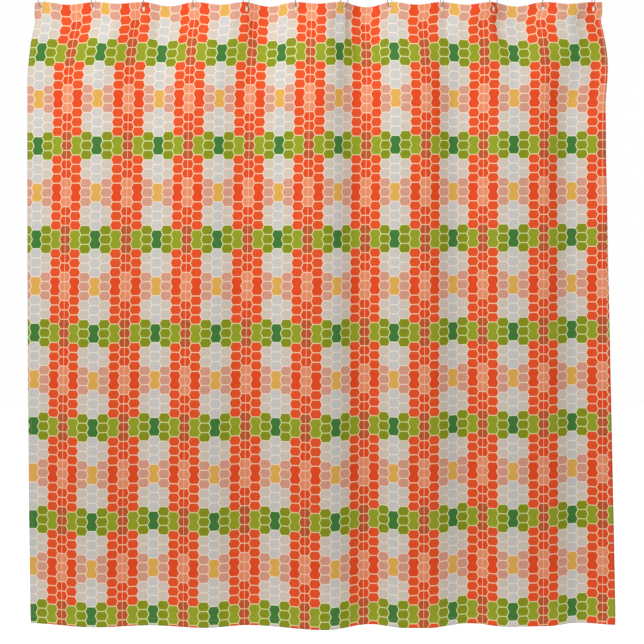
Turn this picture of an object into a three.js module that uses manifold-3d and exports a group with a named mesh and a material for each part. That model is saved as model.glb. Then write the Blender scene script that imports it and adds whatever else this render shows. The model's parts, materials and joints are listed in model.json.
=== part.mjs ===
// A shower curtain on its twelve wire hooks.
//
// One sheet of woven polyester with folded and sewn edges hangs from twelve pear-shaped snap hooks.
// Each hook passes through a stitched eyelet in the top hem and is worn by a round curtain rod,
// which isn't part of the object.
//
// Frame: millimetres, +X along the rod to the right, +Z up, and the printed front faces -Y.
// The origin is on the rod's axis, midway between the two end hooks.
//
// The cloth is described in flat coordinates, as it was cut: u runs from its left edge to the right,
// v from its top edge down. draped(u, v) gives where that point of the cloth hangs.

import * as THREE from 'three';
import { mergeVertices } from 'three/addons/utils/BufferGeometryUtils.js';
import Module from 'manifold-3d';

// ---------------------------------------------------------------- driving dimensions

// The cloth as it was cut and hemmed.
const CLOTH_WIDTH = 1803;
const CLOTH_HEIGHT = 1880;
const CLOTH_THICKNESS = 0.5;

// The hems are two more layers, folded to the back, and held by a seam a little in from their edge.
const HEM_THICKNESS = 0.7;
const TOP_HEM_HEIGHT = 38;
const BOTTOM_HEM_HEIGHT = 25;
const SIDE_HEM_WIDTH = 12;
const SEAM_INSET = 3;
const THREAD_WIDTH = 0.6;
const THREAD_THICKNESS = 0.4;

// The rod that the hooks are made for, and the wire they are bent from.
const ROD_RADIUS = 12.7;
const ROD_PLAY = 6.9;
const WIRE_RADIUS = 1.4;
const TOE_INNER_RADIUS = 14.6;
const CROWN_TO_TOE = 34;
const LATCH_LAP = 9;

// The eyelets: upright slots with a stitched rim, evenly spaced along the top hem.
const EYELET_COUNT = 12;
const END_EYELET_INSET = 27;
const EYELET_DROP = 13;
const SLOT_PLAY = 1.6;
const SLOT_HEIGHT = 14;
const RIM_WIDTH = 2;
const RIM_PROUD = 0.3;

// What pieces that touch on the real curtain keep between them here. The straight facets of a hook's
// toe stand a little inside its curve, so the eyelet hanging on it keeps more.
const FIT_GAP = 0.3;
const HANGING_GAP = 0.7;

// How the cloth turns at each eyelet, in degrees, and its hook with it: positive where the cloth
// falls away from the viewer towards the right.
const HEADING_TURNS = [-30, -14, 4, -11, 33, 2, 39, -27, 10, 36, -13, 3];

// How much further back the top edge bows between each eyelet and the next, beyond its turns.
const HEADING_BOWS = [0, -17, 15, 8, 15, -13, 15, 4, 0, 8, -16];

// The soft folds below the heading, from left to right: a place along the cloth, counted in eyelet
// spacings from the first eyelet, and how far the cloth stands forward of the rod there.
const FOLDS = [
  { place: -0.2, forward: -22 },
  { place: 1.1, forward: 14 },
  { place: 2.1, forward: -4 },
  { place: 3.2, forward: 18 },
  { place: 4, forward: -6 },
  { place: 5.5, forward: 38 },
  { place: 6.4, forward: -14 },
  { place: 7.1, forward: 20 },
  { place: 7.5, forward: 20 },
  { place: 8.35, forward: -22 },
  { place: 9.1, forward: 10 },
  { place: 9.8, forward: 4 },
  { place: 10.5, forward: -28 },
  { place: 11.2, forward: -8 },
];
const HEADING_DEPTH = 320;
const FOLD_KEPT_AT_HEM = 0.8;
const HEADING_SAG = 9;
const HEM_DRIFT = 16;
const DROP_WHERE_FORWARD = 0.2;

// ---------------------------------------------------------------- worked out from them

const eyeletSpacing = (CLOTH_WIDTH - 2 * END_EYELET_INSET) / (EYELET_COUNT - 1);
const slotWidth = 2 * (WIRE_RADIUS + SLOT_PLAY);
const crownRadius = ROD_RADIUS + ROD_PLAY + WIRE_RADIUS;
const toeRadius = TOE_INNER_RADIUS + WIRE_RADIUS;
const crownCentreZ = ROD_RADIUS + WIRE_RADIUS - crownRadius;
const toeCentreZ = crownCentreZ - CROWN_TO_TOE;
const toeWireZ = toeCentreZ - toeRadius;
const clothTopZ = toeWireZ + WIRE_RADIUS + HANGING_GAP + EYELET_DROP;

const clothFront = CLOTH_THICKNESS / 2;
const clothBack = -CLOTH_THICKNESS / 2;
const hemFront = clothBack - FIT_GAP;
const hemBack = hemFront - HEM_THICKNESS;

const eyeletU = (index) => END_EYELET_INSET + index * eyeletSpacing;
const radians = (degrees) => THREE.MathUtils.degToRad(degrees);
const smooth = (t) => THREE.MathUtils.smoothstep(t, 0, 1);

// ---------------------------------------------------------------- how the cloth hangs

/** How far back the top edge stands at u: on the rod's line at each eyelet, turned as stated there. */
function headingDepth(u) {
  const along = (u - END_EYELET_INSET) / eyeletSpacing;
  const left = THREE.MathUtils.clamp(Math.floor(along), 0, EYELET_COUNT - 2);
  const t = along - left;
  const slope = (index) => Math.sin(radians(HEADING_TURNS[index])) * eyeletSpacing;
  if (t < 0) return slope(0) * t;
  if (t > 1) return slope(EYELET_COUNT - 1) * (t - 1);
  const turned = slope(left) * t * (1 - t) ** 2 - slope(left + 1) * t ** 2 * (1 - t);
  return turned + HEADING_BOWS[left] * 16 * (t * (1 - t)) ** 2;
}

/** How far forward the soft folds carry the cloth at u, below the heading. */
function foldForward(u) {
  const place = (u - END_EYELET_INSET) / eyeletSpacing;
  const next = FOLDS.findIndex((fold) => fold.place > place);
  if (next === 0) return FOLDS[0].forward;
  if (next < 0) return FOLDS.at(-1).forward;
  const [from, to] = [FOLDS[next - 1], FOLDS[next]];
  const t = (place - from.place) / (to.place - from.place);
  return from.forward + (to.forward - from.forward) * (1 - Math.cos(Math.PI * t)) / 2;
}

/** How far back the cloth stands at u, v: the heading's line above, easing into the folds below. */
function depthAt(u, v) {
  const below = smooth(v / HEADING_DEPTH);
  const kept = 1 - (1 - FOLD_KEPT_AT_HEM) * smooth(v / CLOTH_HEIGHT);
  return (1 - below) * headingDepth(u) - below * kept * foldForward(u);
}

/** How far right of the middle the cloth stands at u, v: it keeps its length as it goes round folds. */
function acrossAt(u, v) {
  const middle = CLOTH_WIDTH / 2;
  const steps = Math.max(1, Math.ceil(Math.abs(u - middle) / 6));
  const step = (u - middle) / steps;
  let across = 0;
  for (let index = 0; index < steps; index += 1) {
    const from = middle + index * step;
    const rise = depthAt(from + step, v) - depthAt(from, v);
    across += Math.sign(step) * Math.sqrt(Math.max(step * step - rise * rise, 0));
  }
  return across;
}

const endEyeletsMiddle = (acrossAt(eyeletU(0), 0) + acrossAt(eyeletU(EYELET_COUNT - 1), 0)) / 2;

/** Where the point u, v of the flat cloth hangs. */
function draped(u, v) {
  const share = v / CLOTH_HEIGHT;
  const between = Math.sin(Math.PI * (u - END_EYELET_INSET) / eyeletSpacing) ** 2;
  const onHeading = u > eyeletU(0) && u < eyeletU(EYELET_COUNT - 1) ? between : 0;
  const sag = HEADING_SAG * onHeading * (1 - smooth(v / HEADING_DEPTH));
  const lower = DROP_WHERE_FORWARD * share * foldForward(u);
  return new THREE.Vector3(
    acrossAt(u, v) - endEyeletsMiddle + HEM_DRIFT * share ** 2,
    depthAt(u, v),
    clothTopZ - v - sag - lower,
  );
}

/** The axes of the cloth at u, v: along it to the right, up, and out of its front. */
function clothAxes(u, v) {
  const reach = 1;
  const right = draped(u + reach, v).sub(draped(u - reach, v)).normalize();
  const down = draped(u, v + reach).sub(draped(u, v - reach)).normalize();
  const front = new THREE.Vector3().crossVectors(down, right).normalize();
  return { right, up: down.negate(), front };
}

/** Sorted places along one edge of the cloth where its facets meet, shared by all its layers. */
function stations(places) {
  return [...new Set(places.map((place) => Math.round(place * 1000) / 1000))].sort((a, b) => a - b);
}

const CELLS_PER_SPACING = 4;
const sideSeam = SIDE_HEM_WIDTH - SEAM_INSET;
const topSeam = TOP_HEM_HEIGHT - SEAM_INSET;
const bottomSeam = CLOTH_HEIGHT - BOTTOM_HEM_HEIGHT + SEAM_INSET;
const bottomHemTop = CLOTH_HEIGHT - BOTTOM_HEM_HEIGHT;

const uStations = stations([
  0, sideSeam, SIDE_HEM_WIDTH,
  ...Array.from({ length: (EYELET_COUNT - 1) * CELLS_PER_SPACING + 1 },
    (_, index) => eyeletU(index / CELLS_PER_SPACING)),
  CLOTH_WIDTH - SIDE_HEM_WIDTH, CLOTH_WIDTH - sideSeam, CLOTH_WIDTH,
]);
const vStations = stations([
  0, topSeam, TOP_HEM_HEIGHT,
  ...[0.3, 0.5, 0.7, 1].map((share) => share * HEADING_DEPTH),
  ...[0.4, 0.7].map((share) => share * CLOTH_HEIGHT),
  bottomHemTop, bottomSeam, CLOTH_HEIGHT,
]);

/** A closed layer of cloth over a stretch of the sheet, between two distances in front of it. */
function clothLayer({ u, v, front, back }) {
  const within = (list, [low, high]) => [low, ...list.filter((s) => s > low && s < high), high];
  const us = within(uStations, u);
  const vs = within(vStations, v);
  const positions = [];
  for (const distance of [front, back]) {
    for (const down of vs) {
      for (const along of us) {
        const point = draped(along, down).addScaledVector(clothAxes(along, down).front, distance);
        positions.push(point.x, point.y, point.z);
      }
    }
  }
  const columns = us.length;
  const layer = columns * vs.length;
  const faces = [];
  const quad = (a, b, c, d) => faces.push(a, b, c, a, c, d);
  for (let row = 0; row < vs.length - 1; row += 1) {
    for (let column = 0; column < columns - 1; column += 1) {
      const [a, b] = [row * columns + column, row * columns + column + 1];
      const [c, d] = [b + columns, a + columns];
      quad(a, d, c, b);
      quad(a + layer, b + layer, c + layer, d + layer);
    }
    const [leftTop, leftEnd] = [row * columns, (row + 1) * columns];
    const [rightTop, rightEnd] = [leftEnd - 1, leftEnd + columns - 1];
    quad(leftTop, leftTop + layer, leftEnd + layer, leftEnd);
    quad(rightTop, rightEnd, rightEnd + layer, rightTop + layer);
  }
  const lastRow = layer - columns;
  for (let column = 0; column < columns - 1; column += 1) {
    quad(column, column + 1, column + 1 + layer, column + layer);
    const below = lastRow + column;
    quad(below, below + layer, below + 1 + layer, below + 1);
  }
  const geometry = new THREE.BufferGeometry();
  geometry.setAttribute('position', new THREE.Float32BufferAttribute(positions, 3));
  geometry.setIndex(faces);
  return geometry;
}

// ---------------------------------------------------------------- cutting

const wasm = await Module();
wasm.setup();

function solidFrom(geometry) {
  const bare = geometry.clone();
  bare.deleteAttribute('normal');
  bare.deleteAttribute('uv');
  const merged = mergeVertices(bare, 1e-5);
  return new wasm.Manifold(new wasm.Mesh({
    numProp: 3,
    vertProperties: new Float32Array(merged.attributes.position.array),
    triVerts: new Uint32Array(merged.index.array),
  }));
}

function geometryFrom(solid) {
  const mesh = solid.getMesh();
  const geometry = new THREE.BufferGeometry();
  geometry.setAttribute('position', new THREE.Float32BufferAttribute(mesh.vertProperties, 3));
  geometry.setIndex([...mesh.triVerts]);
  return geometry;
}

/** An upright slot's outline with round ends. */
function slotOutline(target, width, height) {
  const radius = width / 2;
  const centre = height / 2 - radius;
  target.moveTo(radius, -centre);
  target.lineTo(radius, centre);
  target.absarc(0, centre, radius, 0, Math.PI, false);
  target.lineTo(-radius, -centre);
  target.absarc(0, -centre, radius, Math.PI, 2 * Math.PI, false);
  return target;
}

const CURVE_STEPS = 4;

/** A slot-shaped prism about an eyelet's centre, square to the cloth, between two distances. */
function eyeletPrism(index, shape, back, front) {
  const u = eyeletU(index);
  const centreV = EYELET_DROP + SLOT_HEIGHT / 2;
  const { right, up, front: outward } = clothAxes(u, centreV);
  const depth = front - back;
  const geometry = new THREE.ExtrudeGeometry(shape, {
    depth, steps: 1, bevelEnabled: false, curveSegments: CURVE_STEPS,
  });
  geometry.translate(0, 0, -depth / 2);
  const axes = new THREE.Matrix4().makeBasis(right, up, new THREE.Vector3().crossVectors(right, up));
  const centre = draped(u, centreV).addScaledVector(outward, (front + back) / 2);
  return geometry.applyMatrix4(axes.setPosition(centre));
}

const rimOuterWidth = slotWidth + 2 * RIM_WIDTH;
const rimOuterHeight = SLOT_HEIGHT + 2 * RIM_WIDTH;

/** Cuts the twelve places for the stitched rims out of a layer of cloth. */
function withEyeletHoles(geometry) {
  const reach = 8;
  let solid = solidFrom(geometry);
  for (let index = 0; index < EYELET_COUNT; index += 1) {
    const hole = slotOutline(new THREE.Shape(), rimOuterWidth + 2 * FIT_GAP, rimOuterHeight + 2 * FIT_GAP);
    solid = solid.subtract(solidFrom(eyeletPrism(index, hole, -reach, reach)));
  }
  return geometryFrom(solid);
}

// ---------------------------------------------------------------- the pieces

function curtainPanel() {
  return withEyeletHoles(clothLayer({
    u: [0, CLOTH_WIDTH], v: [0, CLOTH_HEIGHT], front: clothFront, back: clothBack,
  }));
}

function topHem() {
  return withEyeletHoles(clothLayer({
    u: [0, CLOTH_WIDTH], v: [0, TOP_HEM_HEIGHT], front: hemFront, back: hemBack,
  }));
}

function bottomHem() {
  return clothLayer({
    u: [0, CLOTH_WIDTH], v: [bottomHemTop, CLOTH_HEIGHT], front: hemFront, back: hemBack,
  });
}

function sideHem(u) {
  return clothLayer({
    u, v: [TOP_HEM_HEIGHT + FIT_GAP, bottomHemTop - FIT_GAP], front: hemFront, back: hemBack,
  });
}

/** A line of stitching laid on the front of the cloth. */
function seamThread({ u, v }) {
  const half = THREAD_WIDTH / 2;
  const back = clothFront + FIT_GAP;
  const spread = ([low, high]) => (low === high ? [low - half, low + half] : [low, high]);
  return clothLayer({ u: spread(u), v: spread(v), front: back + THREAD_THICKNESS, back });
}

function eyeletRim(index) {
  const shape = slotOutline(new THREE.Shape(), rimOuterWidth, rimOuterHeight);
  shape.holes.push(slotOutline(new THREE.Path(), slotWidth, SLOT_HEIGHT));
  return eyeletPrism(index, shape, hemBack - RIM_PROUD, clothFront + RIM_PROUD);
}

/** The wire's run, in the hook's own plane: Y points to its back leg, and X across its plane. */
function hookRun() {
  const lean = Math.asin((crownRadius - toeRadius) / CROWN_TO_TOE);
  const crown = new THREE.Vector2(0, crownCentreZ);
  const toe = new THREE.Vector2(0, toeCentreZ);
  const onArc = (centre, radius, angle) => new THREE.Vector2(
    centre.x + radius * Math.cos(angle), centre.y + radius * Math.sin(angle));
  const run = [];
  const arc = (centre, radius, from, to, steps) => {
    for (let index = 0; index <= steps; index += 1) {
      run.push(onArc(centre, radius, from + (to - from) * index / steps));
    }
  };
  const crownEnd = onArc(crown, crownRadius, -lean);
  const toeEnd = onArc(toe, toeRadius, -lean);
  const leg = (share) => crownEnd.clone().lerp(toeEnd, share);
  const lap = LATCH_LAP / crownEnd.distanceTo(toeEnd) / 2;
  run.push(leg(0.5 + lap), leg(0.5));
  arc(crown, crownRadius, -lean, Math.PI + lean, 10);
  arc(toe, toeRadius, Math.PI + lean, 2 * Math.PI - lean, 8);
  run.push(leg(0.5), leg(0.5 - lap));
  const aside = WIRE_RADIUS + FIT_GAP / 2;
  return run.map((point, index) => {
    const onLap = index < 2 ? 1 : index > run.length - 3 ? -1 : 0;
    return new THREE.Vector3(onLap * aside, point.x, point.y);
  });
}

const WIRE_SIDES = 8;
const WIRE_STEPS = 28;

function hookWire() {
  const section = new THREE.Shape();
  for (let side = 0; side < WIRE_SIDES; side += 1) {
    const angle = 2 * Math.PI * side / WIRE_SIDES;
    const place = [WIRE_RADIUS * Math.cos(angle), WIRE_RADIUS * Math.sin(angle)];
    if (side === 0) section.moveTo(...place);
    else section.lineTo(...place);
  }
  return new THREE.ExtrudeGeometry(section, {
    steps: WIRE_STEPS,
    bevelEnabled: false,
    extrudePath: new THREE.CatmullRomCurve3(hookRun(), false, 'centripetal'),
  });
}

// ---------------------------------------------------------------- materials

const printedCloth = new THREE.MeshStandardMaterial({ color: 0xe0805c, roughness: 0.85, metalness: 0 });
const clothReverse = new THREE.MeshStandardMaterial({ color: 0xf0e4da, roughness: 0.9, metalness: 0 });
const sewingThread = new THREE.MeshStandardMaterial({ color: 0xf4efe8, roughness: 0.6, metalness: 0 });
const chromedWire = new THREE.MeshStandardMaterial({ color: 0xc4c6c9, roughness: 0.2, metalness: 1 });

// ---------------------------------------------------------------- the assembly

const curtain = new THREE.Group();

function add(name, geometry, material, parent = curtain) {
  const mesh = new THREE.Mesh(geometry, material);
  mesh.name = name;
  parent.add(mesh);
  return mesh;
}

const numbered = (name, index) => `${name}_${String(index + 1).padStart(2, '0')}`;
const sideSeamRun = [SIDE_HEM_WIDTH, CLOTH_HEIGHT - SIDE_HEM_WIDTH];
const levelSeamRun = [SIDE_HEM_WIDTH, CLOTH_WIDTH - SIDE_HEM_WIDTH];

add('curtain_panel', curtainPanel(), printedCloth);
add('top_hem', topHem(), clothReverse);
add('bottom_hem', bottomHem(), clothReverse);
add('left_hem', sideHem([0, SIDE_HEM_WIDTH]), clothReverse);
add('right_hem', sideHem([CLOTH_WIDTH - SIDE_HEM_WIDTH, CLOTH_WIDTH]), clothReverse);
add('top_seam', seamThread({ u: levelSeamRun, v: [topSeam, topSeam] }), sewingThread);
add('bottom_seam', seamThread({ u: levelSeamRun, v: [bottomSeam, bottomSeam] }), sewingThread);
add('left_seam', seamThread({ u: [sideSeam, sideSeam], v: sideSeamRun }), sewingThread);
add('right_seam', seamThread({
  u: [CLOTH_WIDTH - sideSeam, CLOTH_WIDTH - sideSeam], v: sideSeamRun,
}), sewingThread);

for (let index = 0; index < EYELET_COUNT; index += 1) {
  add(numbered('eyelet', index), eyeletRim(index), sewingThread);
}

for (let index = 0; index < EYELET_COUNT; index += 1) {
  const place = new THREE.Group();
  const { x, y } = draped(eyeletU(index), EYELET_DROP);
  place.position.set(x, y, 0);
  place.rotation.z = radians(HEADING_TURNS[index]);
  curtain.add(place);
  add(numbered('hook', index), hookWire(), chromedWire, place);
}

export default curtain;
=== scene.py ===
"""The looks of the shower curtain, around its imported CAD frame.

Metres. +X runs along the rod to the right, +Z is up, and the printed front faces -Y. The cloth is
described in flat coordinates, as in the part: u from its left edge, v down from its top edge.
"""

import json
import math
import random

import bpy
import numpy as np
from mathutils import Matrix, Vector


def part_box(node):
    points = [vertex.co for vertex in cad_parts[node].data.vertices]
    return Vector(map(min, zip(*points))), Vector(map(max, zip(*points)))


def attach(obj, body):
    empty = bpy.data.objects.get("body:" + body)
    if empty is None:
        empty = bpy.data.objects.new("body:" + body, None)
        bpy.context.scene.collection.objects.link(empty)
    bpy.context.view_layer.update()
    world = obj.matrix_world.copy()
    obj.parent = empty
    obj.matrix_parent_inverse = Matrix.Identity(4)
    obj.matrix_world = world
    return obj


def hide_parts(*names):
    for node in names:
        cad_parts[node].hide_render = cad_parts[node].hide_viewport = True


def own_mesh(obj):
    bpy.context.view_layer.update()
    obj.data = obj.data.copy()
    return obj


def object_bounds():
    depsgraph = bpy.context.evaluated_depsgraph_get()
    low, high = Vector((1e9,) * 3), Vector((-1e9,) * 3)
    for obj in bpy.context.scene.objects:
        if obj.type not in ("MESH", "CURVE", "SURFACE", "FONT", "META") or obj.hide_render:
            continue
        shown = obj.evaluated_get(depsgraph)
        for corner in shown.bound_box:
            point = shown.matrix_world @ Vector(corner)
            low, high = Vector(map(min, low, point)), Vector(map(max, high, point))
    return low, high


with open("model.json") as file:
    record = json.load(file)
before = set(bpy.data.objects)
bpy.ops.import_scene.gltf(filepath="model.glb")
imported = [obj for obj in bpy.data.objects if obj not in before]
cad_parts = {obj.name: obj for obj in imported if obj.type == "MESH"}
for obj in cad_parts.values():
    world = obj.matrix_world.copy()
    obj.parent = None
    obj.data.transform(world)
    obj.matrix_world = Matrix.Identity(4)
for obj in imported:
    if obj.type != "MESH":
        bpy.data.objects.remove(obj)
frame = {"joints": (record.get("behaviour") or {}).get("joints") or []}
CAD_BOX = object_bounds()

# ---------------------------------------------------------------- driving dimensions

CLOTH_WIDTH = 1.803
CLOTH_HEIGHT = 1.880
CLOTH_THICKNESS = 0.00035
HEM_THICKNESS = 0.0007
LAYER_GAP = 0.00005
TOP_HEM_HEIGHT = 0.038
BOTTOM_HEM_HEIGHT = 0.025
SIDE_HEM_WIDTH = 0.012
SEAM_INSET = 0.003

EYELET_COUNT = 12
END_EYELET_INSET = 0.027
EYELET_DROP = 0.013
SLIT_WIDTH = 0.0046
SLOT_HEIGHT = 0.014
RIM_WIDTH = 0.0021

ROD_RADIUS = 0.0127
ROD_PLAY = 0.0069
WIRE_RADIUS = 0.0014
TOE_INNER_RADIUS = 0.0146
CROWN_TO_TOE = 0.034
LATCH_LAP = 0.009

# How the top edge turns at each eyelet, in degrees, and how far back it bows between eyelets.
HEADING_TURNS = (-30, -14, 4, -11, 33, 2, 39, -27, 10, 36, -13, 3)
HEADING_BOWS = (0, -0.017, 0.015, 0.008, 0.015, -0.013, 0.015, 0.004, 0, 0.008, -0.016)

# The soft folds below: a place in eyelet spacings from the first eyelet, and metres forward.
FOLDS = (
    (-0.2, -0.022), (1.1, 0.014), (2.1, -0.004), (3.2, 0.018), (4.0, -0.006), (5.5, 0.038),
    (6.4, -0.014), (7.1, 0.020), (7.5, 0.020), (8.35, -0.022), (9.1, 0.010), (9.8, 0.004),
    (10.5, -0.028), (11.2, -0.008),
)
HEADING_DEPTH = 0.320
FOLD_KEPT_AT_HEM = 0.8
HEADING_SAG = 0.009
HEM_DRIFT = 0.016
DROP_WHERE_FORWARD = 0.2

SPACING = (CLOTH_WIDTH - 2 * END_EYELET_INSET) / (EYELET_COUNT - 1)
EYELET_U = END_EYELET_INSET + SPACING * np.arange(EYELET_COUNT)
SLOT_CENTRE_V = EYELET_DROP + SLOT_HEIGHT / 2
HOOK_PLACES = {j["name"][-2:]: j["pos_m"] for j in frame["joints"] if j["name"].startswith("swivel")}
CLOTH_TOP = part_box("curtain_panel")[1].z

random.seed(12)


# ---------------------------------------------------------------- camera

CAMERA_DISTANCE = 5.2
FRAME_HEIGHT = 1.941
SENSOR_MM = 36
CAMERA_X = 0.0135
CAMERA_Z = -1.006


def make_camera():
    """Square on to the curtain, level with its middle, with the hooks cut off by the top edge."""
    camera = bpy.data.objects.new("camera", bpy.data.cameras.new("camera"))
    camera.data.sensor_width = SENSOR_MM
    camera.data.lens = SENSOR_MM * CAMERA_DISTANCE / FRAME_HEIGHT
    camera.location = (CAMERA_X, -CAMERA_DISTANCE, CAMERA_Z)
    camera.rotation_euler = (math.radians(90), 0, 0)
    bpy.context.scene.collection.objects.link(camera)
    bpy.context.scene.camera = camera


make_camera()


# ---------------------------------------------------------------- how the cloth hangs

def smooth(t):
    t = np.clip(t, 0, 1)
    return t * t * (3 - 2 * t)


def heading_depth(u):
    """How far back the top edge stands at u."""
    along = (u - END_EYELET_INSET) / SPACING
    left = np.clip(np.floor(along), 0, EYELET_COUNT - 2).astype(int)
    t = along - left
    slope = np.sin(np.radians(HEADING_TURNS)) * SPACING
    bow = np.array(HEADING_BOWS)[left] * 16 * (t * (1 - t)) ** 2
    depth = slope[left] * t * (1 - t) ** 2 - slope[left + 1] * t ** 2 * (1 - t) + bow
    depth = np.where(t < 0, slope[0] * t, depth)
    return np.where(t > 1, slope[-1] * (t - 1), depth)


def fold_forward(u):
    """How far forward the soft folds carry the cloth at u, below the heading."""
    place = (u - END_EYELET_INSET) / SPACING
    places, forwards = (np.array(column) for column in zip(*FOLDS))
    after = np.clip(np.searchsorted(places, place, side="right"), 1, len(FOLDS) - 1)
    t = np.clip((place - places[after - 1]) / (places[after] - places[after - 1]), 0, 1)
    rise = forwards[after] - forwards[after - 1]
    return forwards[after - 1] + rise * (1 - np.cos(math.pi * t)) / 2


def depth_at(u, v):
    below = smooth(v / HEADING_DEPTH)
    kept = 1 - (1 - FOLD_KEPT_AT_HEM) * smooth(v / CLOTH_HEIGHT)
    return (1 - below) * heading_depth(u) - below * kept * fold_forward(u)


def waves(place, length, wander=0.8):
    """A row of soft ripples, a wave length apart, that wander so that no two are alike."""
    return np.sin(2 * math.pi * place / length + wander * np.sin(2 * math.pi * place / (5.7 * length)))


# The heights of the small ripples: over all the cloth, under the heading, along the three free
# edges, and where an eyelet pulls the cloth below it.
WIDE_RIPPLE = 0.0006
HEADING_RIPPLE = 0.0015
EDGE_RIPPLE = 0.00045
EYELET_PULL = 0.0018


def ripples(u, v):
    """The small forward and backward creases of hemmed cloth that hangs by its top edge."""
    forward = WIDE_RIPPLE * waves(u + 0.15 * v, 0.118) * waves(v - 0.2 * u, 0.61)
    under_heading = smooth(v / 0.07) * (1 - smooth((v - 0.10) / 0.30))
    forward = forward + HEADING_RIPPLE * under_heading * waves(u + 0.02 * waves(v, 0.33), 0.061)
    for edge, across in ((u, v), (CLOTH_WIDTH - u, v), (CLOTH_HEIGHT - v, u)):
        forward = forward + EDGE_RIPPLE * np.exp(-edge / 0.022) * waves(across, 0.037)
    below_slot = smooth((v - EYELET_DROP - SLOT_HEIGHT) / 0.03)
    for place in EYELET_U:
        from_eyelet = np.hypot(u - place, v - SLOT_CENTRE_V)
        bearing = np.arctan2(u - place, v - SLOT_CENTRE_V)
        drag = np.exp(-from_eyelet / 0.045) * np.cos(7 * bearing)
        forward = forward + EYELET_PULL * below_slot * drag
    return forward


GRID_COLUMNS = 602
GRID_ROWS = 315


class Drape:
    """Where the cloth hangs, kept as a fine grid of points that is read between its lines."""

    def __init__(self):
        self.us = np.linspace(0, CLOTH_WIDTH, GRID_COLUMNS)
        self.vs = np.linspace(0, CLOTH_HEIGHT, GRID_ROWS)
        u, v = np.meshgrid(self.us, self.vs)
        depth = depth_at(u, v) - ripples(u, v)
        step = self.us[1]
        run = np.sqrt(np.clip(step ** 2 - np.diff(depth, axis=1) ** 2, 0, None))
        across = np.concatenate([np.zeros((len(self.vs), 1)), np.cumsum(run, axis=1)], axis=1)
        across -= self._at_middle(across)
        ends = [np.interp(EYELET_U[index], self.us, across[0]) for index in (0, -1)]
        share = v / CLOTH_HEIGHT
        x = across - sum(ends) / 2 + HEM_DRIFT * share ** 2
        within = (u > EYELET_U[0]) & (u < EYELET_U[-1])
        between = np.where(within, np.sin(math.pi * (u - END_EYELET_INSET) / SPACING) ** 2, 0)
        sag = HEADING_SAG * between * (1 - smooth(v / HEADING_DEPTH))
        z = CLOTH_TOP - v - sag - DROP_WHERE_FORWARD * share * fold_forward(u)
        self.points = np.stack([x, depth, z], axis=-1)
        self._find_fronts()

    def _at_middle(self, across):
        middle = len(self.us) // 2
        return (across[:, middle - 1:middle] + across[:, middle:middle + 1]) / 2

    def _find_fronts(self):
        right = np.gradient(self.points, axis=1)
        down = np.gradient(self.points, axis=0)
        fronts = np.cross(down, right)
        self.fronts = fronts / np.linalg.norm(fronts, axis=-1, keepdims=True)

    def _read(self, grid, u, v):
        a = np.clip(np.asarray(u) / self.us[1], 0, len(self.us) - 1.0001)
        b = np.clip(np.asarray(v) / self.vs[1], 0, len(self.vs) - 1.0001)
        i, j = np.floor(a).astype(int), np.floor(b).astype(int)
        s, t = (a - i)[..., None], (b - j)[..., None]
        upper = grid[j, i] * (1 - s) + grid[j, i + 1] * s
        lower = grid[j + 1, i] * (1 - s) + grid[j + 1, i + 1] * s
        return upper * (1 - t) + lower * t

    def at(self, u, v, forward=0.0):
        """Points of the cloth at u, v, carried forward along its front by a distance."""
        out = self._read(self.fronts, u, v)
        forward = np.asarray(forward, float)
        return self._read(self.points, u, v) + out * forward[..., None]


DRAPE = Drape()


# ---------------------------------------------------------------- node helpers

class Nodes:
    """A material's node tree, with one short call for each kind of node it needs."""

    def __init__(self, name):
        self.material = bpy.data.materials.new(name)
        self.material.use_nodes = True
        self.tree = self.material.node_tree
        self.shader = self.tree.nodes["Principled BSDF"]

    def new(self, kind, **settings):
        node = self.tree.nodes.new(kind)
        for key, value in settings.items():
            setattr(node, key, value)
        return node

    def put(self, socket, value):
        if isinstance(value, bpy.types.NodeSocket):
            self.tree.links.new(value, socket)
        else:
            socket.default_value = value

    def math(self, operation, a, b=0.0, c=0.0):
        node = self.new("ShaderNodeMath", operation=operation)
        for socket, value in zip(node.inputs, (a, b, c)):
            self.put(socket, value)
        return node.outputs[0]

    def vector(self, operation, a, b=(0, 0, 0)):
        node = self.new("ShaderNodeVectorMath", operation=operation)
        self.put(node.inputs[0], a)
        self.put(node.inputs[1], b)
        scalar = operation in ("DOT_PRODUCT", "DISTANCE", "LENGTH")
        return node.outputs["Value" if scalar else "Vector"]

    def mix(self, factor, a, b, kind="RGBA", blend="MIX"):
        node = self.new("ShaderNodeMix", data_type=kind)
        if kind == "RGBA":
            node.blend_type = blend
        sockets = {s.name: s for s in node.inputs if s.enabled}
        self.put(sockets["Factor"], factor)
        self.put(sockets["A"], a)
        self.put(sockets["B"], b)
        return next(s for s in node.outputs if s.enabled)

    def map_range(self, value, low, high, to_low=0.0, to_high=1.0):
        node = self.new("ShaderNodeMapRange", clamp=True)
        for socket, number in zip(node.inputs, (value, low, high, to_low, to_high)):
            self.put(socket, number)
        return node.outputs[0]

    def noise(self, vector, scale, detail=2.0):
        node = self.new("ShaderNodeTexNoise")
        self.put(node.inputs["Vector"], vector)
        self.put(node.inputs["Scale"], scale)
        self.put(node.inputs["Detail"], detail)
        return node.outputs["Fac"]

    def bump(self, height, distance, strength=1.0):
        node = self.new("ShaderNodeBump")
        self.put(node.inputs["Height"], height)
        self.put(node.inputs["Distance"], distance)
        self.put(node.inputs["Strength"], strength)
        return node.outputs["Normal"]

    def set(self, **values):
        """Sets the shader's sockets, by their names with _ for a space."""
        for key, value in values.items():
            self.put(self.shader.inputs[key.replace("_", " ")], value)


def colour(red, green, blue):
    """A colour given as it looks, 0 to 255, as the linear light that a shader takes."""
    parts = [c / 255 for c in (red, green, blue)]
    return tuple(c / 12.92 if c <= 0.04045 else ((c + 0.055) / 1.055) ** 2.4 for c in parts) + (1.0,)


# ---------------------------------------------------------------- the print

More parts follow.
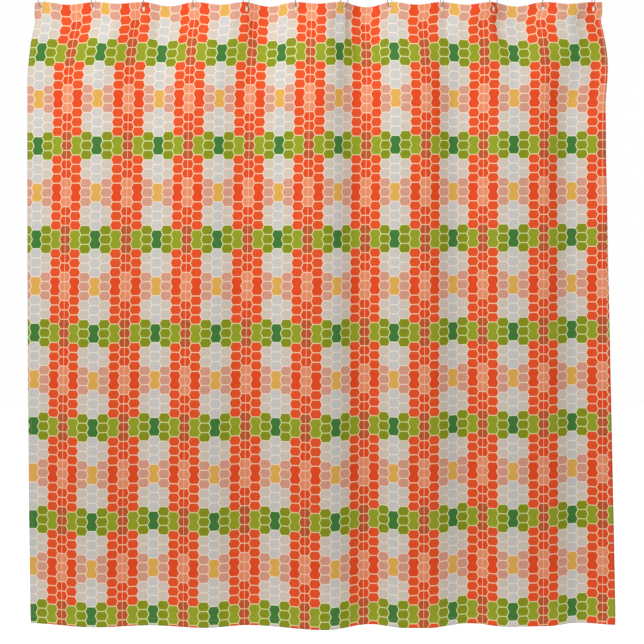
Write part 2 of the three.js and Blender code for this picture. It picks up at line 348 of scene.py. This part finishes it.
# The print repeats a tile, mirrored about its upright and level middle lines. Each quarter of it
# is a plain honeycomb mosaic, staggered column by column. A cell is the part of the quarter
# nearest to its own seed, and the column and the height of the seed choose its paint.
TILE_WIDTH = 0.1852
TILE_HEIGHT = 0.2828
QUARTER_MM = (94, 141)
FIRST_ORANGE_U = 0.134
FIRST_GREEN_V = 0.150
PRINT_LEAN = 0.037
PRINT_SHRINK = 0.010
GROUT_HALF_MM = 1.5
AXIS_LINE_HALF_MM = 0.75
GROUT_BLUR_MM = 0.45

# Each paint as it looks, 0 to 255, and the line around a cell of it.
PAINTS = {
    "brown": ((196, 88, 42), (251, 200, 160)),
    "olive": ((154, 166, 35), (222, 232, 150)),
    "moss": ((140, 151, 21), (222, 232, 150)),
    "leaf": ((66, 127, 55), (222, 236, 190)),
    "red": ((238, 76, 28), (252, 210, 170)),
    "flame": ((240, 84, 34), (252, 210, 170)),
    "salmon": ((242, 147, 106), (252, 210, 180)),
    "rose": ((222, 160, 136), (250, 225, 205)),
    "ochre": ((233, 178, 84), (250, 228, 190)),
    "sand": ((218, 205, 190), (242, 232, 220)),
    "grey": ((212, 208, 203), (242, 236, 228)),
}
CELL_COLUMNS = 4
CELL_ROWS = 5
GREEN_BAND_MM = 30
SPOT_BAND_MM = 105


def cell_paint(column, height):
    """Orange columns and light columns, crossed by a green band and by a row of paler spots."""
    if height < GREEN_BAND_MM:
        return ("brown", "olive", "moss", "leaf")[column]
    if height > SPOT_BAND_MM:
        return ("salmon", "red", "rose", "ochre")[column]
    if column < 2:
        return "flame" if column else "red"
    return "sand" if column == 2 else "grey"


def honeycomb():
    """The seeds of a quarter, as (paint, mm across, mm down)."""
    across, down = QUARTER_MM[0] / (CELL_COLUMNS - 1), QUARTER_MM[1] / CELL_ROWS
    cells = []
    for column in range(CELL_COLUMNS):
        shift = column % 2 / 2
        for row in range(CELL_ROWS + 1 - column % 2):
            height = (row + shift) * down
            cells.append((cell_paint(column, height), column * across, height))
    return tuple(cells)


CELLS = honeycomb()
INDEX_STEP = 0.01


def quarter_place(nodes, uv):
    """Where the flat place uv falls in its quarter of the tile, in mm, as (x, y, 1)."""
    split = nodes.new("ShaderNodeSeparateXYZ")
    nodes.put(split.inputs[0], uv)
    folded = []
    for value, tile, quarter in zip(split.outputs, (TILE_WIDTH, TILE_HEIGHT), QUARTER_MM):
        there_and_back = nodes.math("PINGPONG", value, tile / 2)
        folded.append(nodes.math("MULTIPLY", there_and_back, quarter / (tile / 2)))
    join = nodes.new("ShaderNodeCombineXYZ")
    for socket, value in zip(join.inputs, folded + [1.0]):
        nodes.put(socket, value)
    return join.outputs[0]


def nearest_cell(nodes, place):
    """How near the nearest cell is, its seed as (x, y, index), and how near every cell is."""
    distances = []
    nearest, seed = None, None
    for index, (_, x, y) in enumerate(CELLS):
        here = nodes.vector("DOT_PRODUCT", place, (-2 * x, -2 * y, x * x + y * y))
        mark = (x, y, index * INDEX_STEP)
        distances.append((here, mark))
        if nearest is None:
            nearest, seed = here, mark
            continue
        closer = nodes.math("LESS_THAN", here, nearest)
        seed = nodes.mix(closer, seed, mark, kind="VECTOR")
        nearest = nodes.math("MINIMUM", here, nearest)
    return nearest, seed, distances


def cell_edge(nodes, nearest, seed, distances):
    """How far it is to the cell's edge, in mm."""
    closest = 0.0
    for here, mark in distances:
        gap = nodes.math("SUBTRACT", here, nearest)
        apart = nodes.vector("DISTANCE", seed, mark)
        closest = nodes.math("MAXIMUM", nodes.math("DIVIDE", apart, gap), closest)
    return nodes.math("DIVIDE", 0.5, closest)


def axis_edge(nodes, place):
    """The distance to the thinner line down the middle of each orange column, in mm."""
    split = nodes.new("ShaderNodeSeparateXYZ")
    nodes.put(split.inputs[0], place)
    return nodes.math("ADD", split.outputs[0], GROUT_HALF_MM - AXIS_LINE_HALF_MM)


def paint_ramp(nodes, seed, which):
    """One flat colour for each cell: its paint, or the line around it."""
    split = nodes.new("ShaderNodeSeparateXYZ")
    nodes.put(split.inputs[0], seed)
    ramp = nodes.new("ShaderNodeValToRGB")
    ramp.color_ramp.interpolation = "CONSTANT"
    elements = ramp.color_ramp.elements
    while len(elements) < len(CELLS):
        elements.new(1.0)
    for position, (paint, *_) in enumerate(CELLS):
        elements[position].position = max(position - 0.5, 0) / len(CELLS)
        elements[position].color = colour(*PAINTS[paint][which])
    nodes.put(ramp.inputs[0], nodes.math("DIVIDE", split.outputs[2], INDEX_STEP * len(CELLS)))
    return ramp.outputs[0]


def printed_colour(nodes, uv):
    """The whole print: painted cells, and the fine pale lines between them."""
    place = quarter_place(nodes, uv)
    nearest, seed, distances = nearest_cell(nodes, place)
    paint, line = paint_ramp(nodes, seed, 0), paint_ramp(nodes, seed, 1)
    edge = nodes.math("MINIMUM", cell_edge(nodes, nearest, seed, distances), axis_edge(nodes, place))
    inside = nodes.map_range(edge, GROUT_HALF_MM - GROUT_BLUR_MM, GROUT_HALF_MM + GROUT_BLUR_MM)
    return nodes.mix(inside, line, paint)


# ---------------------------------------------------------------- materials

THREAD_PITCH = 0.00055
DYE_DEPTH = 0.85
PRINT_ON_REVERSE = 0.16


def flat_place(nodes):
    node = nodes.new("ShaderNodeUVMap")
    node.uv_map = "Flat"
    return node.outputs[0]


def weave_height(nodes, uv):
    """A plain weave: threads over and under each other, a little uneven."""
    split = nodes.new("ShaderNodeSeparateXYZ")
    nodes.put(split.inputs[0], uv)
    turns = 2 * math.pi / THREAD_PITCH
    warp, weft = (nodes.math("SINE", nodes.math("MULTIPLY", s, turns)) for s in split.outputs[:2])
    woven = nodes.math("MULTIPLY", warp, weft)
    slubs = nodes.noise(uv, 900.0, 3.0)
    return nodes.math("MULTIPLY_ADD", slubs, 0.8, woven)


def cloth_material(name, share_of_print):
    """Woven polyester: the print on its face, or its reverse with a share of the print in it."""
    nodes = Nodes(name)
    uv = flat_place(nodes)
    printed = printed_colour(nodes, uv)
    if share_of_print < 1:
        printed = nodes.mix(share_of_print, colour(243, 240, 236), printed)
    cloudy = nodes.map_range(nodes.noise(uv, 14.0, 4.0), 0.3, 0.7, 0.975, 1.02)
    grain = nodes.map_range(nodes.noise(uv, 700.0, 2.0), 0.3, 0.7, 0.97 * DYE_DEPTH, 1.02 * DYE_DEPTH)
    shade = nodes.math("MULTIPLY", cloudy, grain)
    toned = nodes.mix(1.0, printed, shade, blend="MULTIPLY")
    nodes.set(
        Base_Color=toned, Roughness=0.66, Sheen_Weight=0.04, Sheen_Roughness=0.4,
        Specular_IOR_Level=0.15, Normal=nodes.bump(weave_height(nodes, uv), 0.00006, 0.6),
    )
    return nodes.material


def thread_material(name, tint):
    """Twisted polyester thread."""
    nodes = Nodes(name)
    place = nodes.new("ShaderNodeTexCoord").outputs["Object"]
    strands = nodes.noise(place, 2600.0, 2.0)
    tone = nodes.map_range(strands, 0.3, 0.7, 0.88, 1.05)
    nodes.set(
        Base_Color=nodes.mix(1.0, tint, tone, blend="MULTIPLY"), Roughness=0.5,
        Sheen_Weight=0.3, Normal=nodes.bump(strands, 0.0001, 0.5),
    )
    return nodes.material


def chrome_material():
    """Bright plated wire, with the faint drawn lines and dull patches of use."""
    nodes = Nodes("chromed_wire")
    place = nodes.new("ShaderNodeTexCoord").outputs["Object"]
    patches = nodes.noise(place, 60.0, 4.0)
    drawn = nodes.noise(place, 1500.0, 2.0)
    nodes.set(
        Base_Color=nodes.mix(patches, colour(150, 152, 156), colour(176, 178, 181)), Metallic=1.0,
        Roughness=nodes.map_range(patches, 0.3, 0.7, 0.12, 0.26),
        Normal=nodes.bump(drawn, 0.00003, 0.3),
    )
    return nodes.material


FACE = cloth_material("printed_cloth", 1.0)
REVERSE = cloth_material("cloth_reverse", PRINT_ON_REVERSE)
SEAM_THREAD = thread_material("sewing_thread", colour(236, 206, 178))
EYELET_THREAD = thread_material("eyelet_thread", colour(228, 204, 178))
CHROME = chrome_material()


# ---------------------------------------------------------------- mesh helpers

def mesh_object(name, points, faces, materials, face_slots=None, uvs=None):
    mesh = bpy.data.meshes.new(name)
    mesh.from_pydata([tuple(p) for p in points], [], [tuple(f) for f in faces])
    for material in materials:
        mesh.materials.append(material)
    if face_slots is not None:
        mesh.polygons.foreach_set("material_index", face_slots)
    mesh.polygons.foreach_set("use_smooth", [True] * len(mesh.polygons))
    if uvs is not None:
        layer = mesh.uv_layers.new(name="Flat")
        corners = np.empty(len(mesh.loops), np.int32)
        mesh.loops.foreach_get("vertex_index", corners)
        layer.data.foreach_set("uv", np.asarray(uvs, np.float32)[corners].ravel())
    mesh.update()
    obj = bpy.data.objects.new(name, mesh)
    bpy.context.scene.collection.objects.link(obj)
    return obj


def print_place(u, v):
    """Where the print's own coordinates put the flat place u, v: it was printed a little askew."""
    across = u - FIRST_ORANGE_U + PRINT_LEAN * v / CLOTH_HEIGHT
    down = v * (1 + PRINT_SHRINK * (u / CLOTH_WIDTH) ** 2) - FIRST_GREEN_V
    return np.stack([across, down], axis=-1)


BAKED_EDGE_WIDTH = 0.0008
BAKED_FRONT_SHARE = 0.66
BAKED_BACK_SHARE = 0.33


def cloth_shell(name, us, vs, front, back, materials, holes=()):
    """A closed thin layer of cloth over a grid of flat places, with grid cells left out as holes."""
    u, v = np.meshgrid(us, vs)
    rows, columns = u.shape
    layers = [DRAPE.at(u, v, np.full_like(u, distance)).reshape(-1, 3) for distance in (front, back)]
    points = np.concatenate(layers)
    size = rows * columns
    place = print_place(u, v).reshape(-1, 2)
    kept = np.ones((rows - 1, columns - 1), bool)
    for (u_low, u_high), (v_low, v_high) in holes:
        inside_u = (us[:-1] > u_low - 1e-6) & (us[1:] < u_high + 1e-6)
        inside_v = (vs[:-1] > v_low - 1e-6) & (vs[1:] < v_high + 1e-6)
        kept[np.ix_(inside_v, inside_u)] = False
    number = np.arange(size).reshape(rows, columns)
    a, b = number[:-1, :-1], number[:-1, 1:]
    d, c = number[1:, :-1], number[1:, 1:]
    face = np.stack([a[kept], d[kept], c[kept], b[kept]], axis=-1)
    faces = [face, face[:, ::-1] + size]
    slots = [np.zeros(len(face), int), np.full(len(face), len(materials) - 1)]
    padded = np.pad(kept, 1)
    sides = (
        (padded[:-2, 1:-1], b, a), (padded[2:, 1:-1], d, c),
        (padded[1:-1, :-2], a, d), (padded[1:-1, 2:], c, b),
    )
    for neighbour, start, end in sides:
        open_edge = kept & ~neighbour
        s, e = start[open_edge], end[open_edge]
        faces.append(np.stack([s, s + size, e + size, e], axis=-1))
        slots.append(np.zeros(len(s), int))
    faces = np.concatenate(faces)
    used = np.unique(faces)
    renumber = np.full(2 * size, -1)
    renumber[used] = np.arange(len(used))
    piece = mesh_object(
        name, points[used], renumber[faces], materials, np.concatenate(slots),
        np.concatenate([place, place])[used],
    )
    flat_places = np.stack([u, -v], axis=-1).reshape(-1, 2)
    add_bake_map(piece, flat_places[faces % size], len(face))
    return piece


def add_bake_map(piece, corners, front_count):
    """A second flat map, for baking, with the front, the back and the cut edges side by side.
    The faces come in that order, and corners holds the flat place of each corner of each."""
    cut = corners[2 * front_count:]
    along = cut[:, 3] - cut[:, 0]
    along /= np.linalg.norm(along, axis=1, keepdims=True)
    outward = np.stack([along[:, 1], -along[:, 0]], axis=-1) * BAKED_EDGE_WIDTH
    cut[:, 1:3] += outward[:, None]
    low, high = corners.min(axis=(0, 1)), corners.max(axis=(0, 1))
    share = (corners - low) / (high - low)
    share[..., 0] *= BAKED_FRONT_SHARE
    back = share[front_count:2 * front_count]
    back[..., 0] = 1 - back[..., 0] / BAKED_FRONT_SHARE * BAKED_BACK_SHARE
    layer = piece.data.uv_layers.new(name="OFBake")
    layer.data.foreach_set("uv", share.ravel())


def tube(points, radius, sides):
    """The points and faces of a round tube along a list of points."""
    path = np.asarray(points, float)
    along = np.gradient(path, axis=0)
    along /= np.linalg.norm(along, axis=1, keepdims=True)
    reference = np.array([0.0, 0.0, 1.0])
    if abs(along[0] @ reference) > 0.9:
        reference = np.array([1.0, 0.0, 0.0])
    side = np.cross(along[0], reference)
    side /= np.linalg.norm(side)
    radii = np.broadcast_to(np.asarray(radius, float), (len(path),))
    angles = np.linspace(0, 2 * math.pi, sides, endpoint=False)
    ring_points = []
    for point, direction, size in zip(path, along, radii):
        side = side - (side @ direction) * direction
        side /= np.linalg.norm(side)
        other = np.cross(direction, side)
        ring = np.outer(np.cos(angles), side) + np.outer(np.sin(angles), other)
        ring_points.append(point + size * ring)
    points = np.concatenate(ring_points)
    faces = []
    for ring in range(len(path) - 1):
        for s in range(sides):
            t = (s + 1) % sides
            base = ring * sides
            faces.append((base + s, base + t, base + sides + t, base + sides + s))
    faces.append(tuple(range(sides))[::-1])
    last = (len(path) - 1) * sides
    faces.append(tuple(last + s for s in range(sides)))
    return points, faces


class Bundle:
    """Many small closed shapes gathered into one mesh."""

    def __init__(self):
        self.points, self.faces, self.count = [], [], 0

    def add(self, points, faces):
        self.points.append(np.asarray(points))
        self.faces.extend(tuple(i + self.count for i in face) for face in faces)
        self.count += len(points)

    def build(self, name, material):
        return mesh_object(name, np.concatenate(self.points), self.faces, [material])


# ---------------------------------------------------------------- cloth, hems and seams

CLOTH_STEP = 0.0082
ROW_STEP = 0.0105
TOP_ROW_STEP = 0.004
FOLD_ROUND = 0.0012
HEM_FRONT = -CLOTH_THICKNESS / 2 - LAYER_GAP
HEM_BACK = HEM_FRONT - HEM_THICKNESS
SLOT_V = (EYELET_DROP, EYELET_DROP + SLOT_HEIGHT)
BOTTOM_HEM_V = (CLOTH_HEIGHT - BOTTOM_HEM_HEIGHT, CLOTH_HEIGHT)
BUTT_GAP = 0.0003
SIDE_HEM_STEP = 0.004
LEVEL_HEM_STEP = 0.006
SEAM_END_INSET = 0.001
SIDE_SEAM_GAP = 0.002


def lines(marks, step):
    """Grid lines at every mark, and between two marks at most a step apart."""
    found = [marks[0]]
    for low, high in zip(marks, marks[1:]):
        count = max(1, math.ceil((high - low) / step - 1e-6))
        found.extend(np.linspace(low, high, count + 1)[1:])
    return np.array(found)


def eyelet_marks():
    sides = [place + side * SLIT_WIDTH / 2 for place in EYELET_U for side in (-1, 1)]
    return [0, *sides, CLOTH_WIDTH]


def slot_holes():
    return [((u - SLIT_WIDTH / 2, u + SLIT_WIDTH / 2), SLOT_V) for u in EYELET_U]


def cloth_piece(piece, node):
    """Cloth and what is sewn to it ride with the cloth."""
    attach(piece, "cloth")
    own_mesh(piece)
    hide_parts(node)
    return piece


def make_panel():
    us = lines(eyelet_marks(), CLOTH_STEP)
    top = lines([0, *SLOT_V, TOP_HEM_HEIGHT - SEAM_INSET, 2 * TOP_HEM_HEIGHT], TOP_ROW_STEP)
    vs = np.concatenate([top, lines([top[-1], BOTTOM_HEM_V[0], CLOTH_HEIGHT], ROW_STEP)[1:]])
    panel = cloth_shell(
        "curtain_panel_cloth", us, vs, CLOTH_THICKNESS / 2, -CLOTH_THICKNESS / 2,
        [FACE, REVERSE], slot_holes(),
    )
    return cloth_piece(panel, "curtain_panel")


def rounded(low, high, step):
    """Grid lines across a folded strip, closer together where its two edges round over."""
    turn = FOLD_ROUND * np.array([0, 0.08, 0.3, 0.65, 1])
    middle = lines([low + FOLD_ROUND, high - FOLD_ROUND], step)
    return np.concatenate([low + turn[:-1], middle, (high - turn[:-1])[::-1]])


def fullness(place, low, high):
    """How thick a folded strip is there, as a share: full in the middle and round at its edges."""
    inwards = np.clip(np.minimum(place - low, high - place) / FOLD_ROUND, 0, 1)
    return 0.12 + 0.88 * np.sqrt(1 - (1 - inwards) ** 2)


def make_hem(name, node, u, v, holes=()):
    """A hem: the cloth's edge folded twice to the back, as one flat strip with round edges."""
    upright = v[1] - v[0] > u[1] - u[0]
    if upright:
        us, vs = rounded(*u, SIDE_HEM_STEP), lines(v, ROW_STEP)
    else:
        us = lines(eyelet_marks() if holes else u, CLOTH_STEP)
        vs = rounded(*v, LEVEL_HEM_STEP)
    if holes:
        vs = np.unique(np.concatenate([vs, SLOT_V]))
    across = np.meshgrid(us, vs)[0 if upright else 1]
    back = HEM_FRONT - HEM_THICKNESS * fullness(across, *(u if upright else v))
    hem = cloth_shell(name, us, vs, HEM_FRONT, back, [REVERSE], holes)
    return cloth_piece(hem, node)


STITCH_PITCH = 0.0030
STITCH_LENGTH = 0.0027
STITCH_RADIUS = 0.00016


def make_seam(name, node, start, end):
    """A lockstitch seam: short straight stitches that dip into the cloth, on its front and back."""
    bundle = Bundle()
    start, end = np.array(start), np.array(end)
    length = np.linalg.norm(end - start)
    along = (end - start) / length
    count = int(length / STITCH_PITCH)
    steps = np.linspace(0, 1, 5)
    rise = np.sin(math.pi * steps)
    for face, direction in ((CLOTH_THICKNESS / 2, 1), (HEM_BACK, -1)):
        for index in range(count):
            begin = (index + 0.5 * (direction < 0)) * STITCH_PITCH
            wander = random.uniform(-0.00012, 0.00012)
            flat = start + np.outer(begin + steps * STITCH_LENGTH, along)
            flat += wander * np.array([along[1], along[0]])
            forward = face + direction * STITCH_RADIUS * (1.5 * rise - 0.7)
            points = DRAPE.at(flat[:, 0], flat[:, 1], forward)
            bundle.add(*tube(points, STITCH_RADIUS * (0.75 + 0.25 * rise), 6))
    return cloth_piece(bundle.build(name, SEAM_THREAD), node)


def make_hems():
    side_v = (TOP_HEM_HEIGHT + BUTT_GAP, BOTTOM_HEM_V[0] - BUTT_GAP)
    width = (0, CLOTH_WIDTH)
    right = (CLOTH_WIDTH - SIDE_HEM_WIDTH, CLOTH_WIDTH)
    return [
        make_hem("top_hem_fold", "top_hem", width, (0, TOP_HEM_HEIGHT), slot_holes()),
        make_hem("bottom_hem_fold", "bottom_hem", width, BOTTOM_HEM_V),
        make_hem("left_hem_fold", "left_hem", (0, SIDE_HEM_WIDTH), side_v),
        make_hem("right_hem_fold", "right_hem", right, side_v),
    ]


def make_seams():
    top = TOP_HEM_HEIGHT - SEAM_INSET
    bottom = BOTTOM_HEM_V[0] + SEAM_INSET
    left = SIDE_HEM_WIDTH - SEAM_INSET
    right = CLOTH_WIDTH - left
    level = (SEAM_END_INSET, CLOTH_WIDTH - SEAM_END_INSET)
    upright = (top + SIDE_SEAM_GAP, bottom - SIDE_SEAM_GAP)
    return [
        make_seam("top_seam_stitches", "top_seam", (level[0], top), (level[1], top)),
        make_seam("bottom_seam_stitches", "bottom_seam", (level[0], bottom), (level[1], bottom)),
        make_seam("left_seam_stitches", "left_seam", (left, upright[0]), (left, upright[1])),
        make_seam("right_seam_stitches", "right_seam", (right, upright[0]), (right, upright[1])),
    ]


# ---------------------------------------------------------------- eyelets

EYELET_STITCHES = 96
EYELET_THREAD_RADIUS = 0.00021
SLIT_CLOSED_TO = 0.14


def slot_edge(share):
    """A point of the slot's edge and the way out of it, from the slot's centre, u and v."""
    radius = SLIT_WIDTH / 2
    straight = SLOT_HEIGHT - SLIT_WIDTH
    half_turn = math.pi * radius
    run = share * 2 * (straight + half_turn)
    if run < straight:
        return np.array([radius, straight / 2 - run]), np.array([1.0, 0.0])
    run -= straight
    if run < half_turn:
        angle = run / radius
        out = np.array([math.cos(angle), -math.sin(angle)])
        return np.array([0, -straight / 2]) + radius * out, out
    run -= half_turn
    if run < straight:
        return np.array([-radius, run - straight / 2]), np.array([-1.0, 0.0])
    angle = (run - straight) / radius
    out = np.array([-math.cos(angle), math.sin(angle)])
    return np.array([0, straight / 2]) + radius * out, out


def make_eyelet(index):
    """Satin stitches round the slit, each from the back of the hem through the slit to the front.
    The slit is open at its top, where the hook is, and its sides lie close together below."""
    bundle = Bundle()
    centre = np.array([EYELET_U[index], SLOT_CENTRE_V])
    face = CLOTH_THICKNESS / 2 + EYELET_THREAD_RADIUS
    back = HEM_BACK - EYELET_THREAD_RADIUS
    route = (
        (1.0, back + 0.0004), (0.9, back), (0.5, back - 0.0001), (0.12, back + 0.00005),
        (-0.06, HEM_BACK + 0.0002), (-0.1, HEM_FRONT), (-0.06, CLOTH_THICKNESS / 2),
        (0.12, face - 0.00005), (0.5, face + 0.0001), (0.9, face), (1.0, face - 0.0004),
    )
    for stitch in range(EYELET_STITCHES):
        edge, out = slot_edge(stitch / EYELET_STITCHES)
        outer = edge + out * (RIM_WIDTH + random.uniform(-0.00018, 0.00012))
        closed = smooth((edge[1] + 0.0025) / 0.006)
        inner = edge * (1 - (1 - SLIT_CLOSED_TO) * closed, 1)
        flat = np.array([centre + inner + (outer - inner) * share for share, _ in route])
        forward = np.array([f for _, f in route]) + random.uniform(-0.00004, 0.00004)
        points = DRAPE.at(flat[:, 0], flat[:, 1], forward)
        bundle.add(*tube(points, EYELET_THREAD_RADIUS, 6))
    number = f"{index + 1:02d}"
    eyelet = bundle.build(f"eyelet_stitches_{number}", EYELET_THREAD)
    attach(eyelet, "cloth" if index == 0 else f"eyelet_{number}")
    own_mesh(eyelet)
    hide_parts(f"eyelet_{number}")
    return eyelet


# ---------------------------------------------------------------- hooks

CROWN_RADIUS = ROD_RADIUS + ROD_PLAY + WIRE_RADIUS
TOE_RADIUS = TOE_INNER_RADIUS + WIRE_RADIUS
CROWN_CENTRE_Z = ROD_RADIUS + WIRE_RADIUS - CROWN_RADIUS
LATCH_SIDE = WIRE_RADIUS + 0.00015
LATCH_EASE = 1.1
WIRE_SIDES = 20


def hook_path():
    """The wire's line: up the back, over the rod, down the front, round the toe and up the back."""
    lean = math.asin((CROWN_RADIUS - TOE_RADIUS) / CROWN_TO_TOE)
    crown = np.array([0, CROWN_CENTRE_Z])
    toe = crown - (0, CROWN_TO_TOE)

    def arc(centre, radius, start, end, steps):
        angles = np.linspace(start, end, steps)
        return centre + radius * np.stack([np.cos(angles), np.sin(angles)], axis=-1)

    def beside_latch(past_tip):
        return 1 - smooth((past_tip - LATCH_LAP) / (LATCH_EASE * LATCH_LAP))

    over = arc(crown, CROWN_RADIUS, -lean, math.pi + lean, 44)
    under = arc(toe, TOE_RADIUS, math.pi + lean, 2 * math.pi - lean, 34)
    top, bottom = over[0], under[-1]
    lap = LATCH_LAP / np.linalg.norm(bottom - top) / 2
    shares = np.linspace(0.5 + lap, 0, 16)[:-1, None]
    down_back = top + (bottom - top) * shares
    up_back = bottom + (top - bottom) * shares[::-1]
    front = np.linspace(over[-1], under[0], 10)[1:-1]
    upright = np.concatenate([down_back, over, front, under, up_back])
    run = np.concatenate([[0], np.cumsum(np.linalg.norm(np.diff(upright, axis=0), axis=1))])
    aside = LATCH_SIDE * (beside_latch(run) - beside_latch(run[-1] - run))
    return np.column_stack([aside, upright])


def make_hook(index):
    path = hook_path()
    to_end = np.minimum(np.arange(len(path)), np.arange(len(path))[::-1])
    tips = np.interp(to_end, (0, 1, 2), (0.55, 0.9, 1.0))
    points, faces = tube(path, WIRE_RADIUS * tips, WIRE_SIDES)
    number = f"{index + 1:02d}"
    hook = mesh_object(f"hook_wire_{number}", points, faces, [CHROME])
    turn = Matrix.Rotation(math.radians(HEADING_TURNS[index]), 4, "Z")
    place = Matrix.Translation((*HOOK_PLACES[number][:2], 0))
    hook.data.transform(place @ turn)
    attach(hook, f"hook_{number}")
    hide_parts(f"hook_{number}")
    return hook


# ---------------------------------------------------------------- studio

FLOOR_DROP = 0.06
FLOOR_REACH = 15
FLOOR_GREY = 184
FLOOR_GLOW = 0.85
# The floor's glow fades in between these two y values, behind the curtain and far in front of it.
GLOW_BEHIND_Y = (-0.5, 0.05)
GLOW_IN_FRONT_Y = (-2.2, -5.5)
# The world fades from white to its overhead grey between these two heights of its direction.
WORLD_HEIGHTS = (0.2, 0.42)
WORLD_GREYS = (1.0, 0.5)


def make_floor():
    """A plain pale floor, a little below the hem. It glows softly, but not just before the curtain."""
    nodes = Nodes("floor")
    split = nodes.new("ShaderNodeSeparateXYZ")
    nodes.put(split.inputs[0], nodes.new("ShaderNodeTexCoord").outputs["Object"])
    behind = nodes.map_range(split.outputs[1], *GLOW_BEHIND_Y, 0.0, FLOOR_GLOW)
    far_in_front = nodes.map_range(split.outputs[1], *GLOW_IN_FRONT_Y, 0.0, FLOOR_GLOW)
    glow = nodes.math("MAXIMUM", behind, far_in_front)
    nodes.set(
        Base_Color=colour(FLOOR_GREY, FLOOR_GREY, FLOOR_GREY), Roughness=0.9, Specular_IOR_Level=0.1,
        Emission_Color=(1, 1, 1, 1), Emission_Strength=glow,
    )
    low = CAD_BOX[0][2] - FLOOR_DROP
    corners = [(x * FLOOR_REACH, y * FLOOR_REACH, low) for x, y in ((-1, -1), (1, -1), (1, 1), (-1, 1))]
    mesh_object("floor", corners, [(0, 1, 2, 3)], [nodes.material])


def make_world():
    """White all round at eye level, and dimmer overhead, as in a white studio."""
    world = bpy.data.worlds.new("studio")
    bpy.context.scene.world = world
    world.use_nodes = True
    tree = world.node_tree
    background = tree.nodes["Background"]
    place = tree.nodes.new("ShaderNodeTexCoord")
    split = tree.nodes.new("ShaderNodeSeparateXYZ")
    ramp = tree.nodes.new("ShaderNodeValToRGB")
    for element, height, brightness in zip(ramp.color_ramp.elements, WORLD_HEIGHTS, WORLD_GREYS):
        element.position = height
        element.color = (brightness, brightness, brightness, 1)
    tree.links.new(place.outputs["Generated"], split.inputs[0])
    tree.links.new(split.outputs[2], ramp.inputs[0])
    tree.links.new(ramp.outputs[0], background.inputs["Color"])


def make_light(name, place, target, size, power):
    data = bpy.data.lights.new(name, "AREA")
    data.shape = "SQUARE"
    data.size = size
    data.energy = power
    light = bpy.data.objects.new(name, data)
    light.location = place
    light.rotation_euler = (Vector(target) - Vector(place)).to_track_quat("-Z", "Y").to_euler()
    bpy.context.scene.collection.objects.link(light)


panel = make_panel()
hems = make_hems()
seams = make_seams()
eyelets = [make_eyelet(index) for index in range(EYELET_COUNT)]
hooks = [make_hook(index) for index in range(EYELET_COUNT)]

make_floor()
make_world()
make_light("key", (-9.6, -8.0, 4.2), (0, 0, -1.0), 5.0, 218)
make_light("top", (-0.8, -2.2, 1.6), (0, 0, -0.3), 1.6, 56)
bpy.context.scene.view_settings.view_transform = "Standard"
